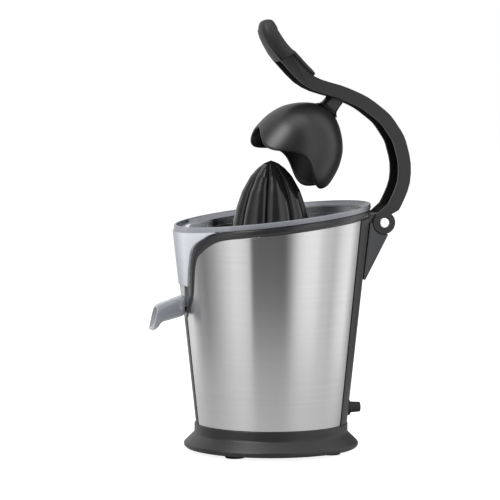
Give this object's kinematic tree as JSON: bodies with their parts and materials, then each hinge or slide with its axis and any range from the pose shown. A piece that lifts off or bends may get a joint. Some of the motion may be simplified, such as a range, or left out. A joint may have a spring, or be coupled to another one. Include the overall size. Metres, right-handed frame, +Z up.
{
  "type": "citrus press juicer",
  "caption": "Electric citrus press with a tapered steel-clad body, clear juice bowl and tilting drip spout, ribbed reamer, and a curved lever arm carrying an egg-shaped press hood.",
  "frame": {"origin": "centre of the outline at the underside of the feet", "axes": "+Z up; spout and grip towards -X, lever hinge towards +X; +Y to the machine's right as seen from behind the hinge looking to the spout"},
  "size_m": [0.2379, 0.1776, 0.3884],
  "materials": {
    "charcoal": "satin moulded",
    "gloss_black": "polished",
    "soft_grip": "fine matt",
    "foot_rubber": "matt",
    "panel_steel": "brushed round the body",
    "bright_steel": "polished",
    "clear_tinted": "clear, faintly blue",
    "white_nylon": "moulded",
    "brass": "machined",
    "red_plastic": "moulded"
  },
  "bodies": {
    "base": {"base_skirt": "charcoal", "bottom_cover": "charcoal", "inner_housing": "charcoal", "front_column": "charcoal", "back_cover": "charcoal", "top_trim": "charcoal", "gear_deck": "charcoal", "switch_case": "charcoal", "hinge_bracket": "charcoal", "cord_gland": "soft_grip", "foot_1": "foot_rubber", "foot_2": "foot_rubber", "foot_3": "foot_rubber", "foot_4": "foot_rubber", "steel_panel_left": "panel_steel", "steel_panel_right": "panel_steel", "hinge_pin": "bright_steel", "counter_shaft": "bright_steel", "motor_can": "bright_steel", "gear_plate": "bright_steel", "switch_bracket": "bright_steel", "cover_screw_1": "bright_steel", "cover_screw_2": "bright_steel", "cover_screw_3": "bright_steel", "cover_screw_4": "bright_steel", "juice_bowl": "clear_tinted", "strainer": "white_nylon", "shaft_bush": "brass"},
    "lever": {"lever_arm": "charcoal", "grip_pad": "soft_grip", "press_hood": "charcoal"},
    "spout": {"drip_spout": "clear_tinted"},
    "output": {"output_gear": "white_nylon"},
    "reamer": {"drive_shaft": "bright_steel", "reamer_cone": "gloss_black", "return_spring": "bright_steel"},
    "counter": {"counter_gear": "white_nylon"},
    "motor": {"motor_pinion": "brass"},
    "switch": {"switch_plunger": "red_plastic"}
  },
  "joints": [
    {"name": "lever_lift", "type": "hinge", "parent": "base", "child": "lever", "pos_m": [0.0935, 0, 0.205], "axis": [0, 1, 0], "range_deg": [-30, 45]},
    {"name": "spout_tilt", "type": "hinge", "parent": "base", "child": "spout", "pos_m": [-0.0895, 0, 0.143], "axis": [0, 1, 0], "range_deg": [0, 30]},
    {"name": "output_spin", "type": "hinge", "parent": "base", "child": "output", "pos_m": [-0.0085, 0, 0.08], "axis": [0, 0, 1], "continuous": true},
    {"name": "cone_press", "type": "slide", "parent": "output", "child": "reamer", "axis": [0, 0, 1], "range_m": [-0.0025, 0], "stiffness_N_per_m": 800, "springref_m": 0.004, "deforming": ["return_spring"]},
    {"name": "counter_spin", "type": "hinge", "parent": "base", "child": "counter", "pos_m": [0.01078, 0.02298, 0.08], "axis": [0, 0, 1], "continuous": true},
    {"name": "motor_spin", "type": "hinge", "parent": "base", "child": "motor", "pos_m": [0.00394, 0.04177, 0.08], "axis": [0, 0, 1], "continuous": true},
    {"name": "switch_press", "type": "slide", "parent": "base", "child": "switch", "axis": [0, 0, 1], "range_m": [-0.0025, 0]}
  ],
  "couplings": [
    {"joint": "counter_spin", "follows": "output_spin", "ratio": -3},
    {"joint": "motor_spin", "follows": "output_spin", "ratio": 9},
    {"joint": "switch_press", "follows": "cone_press", "ratio": 1}
  ]
}
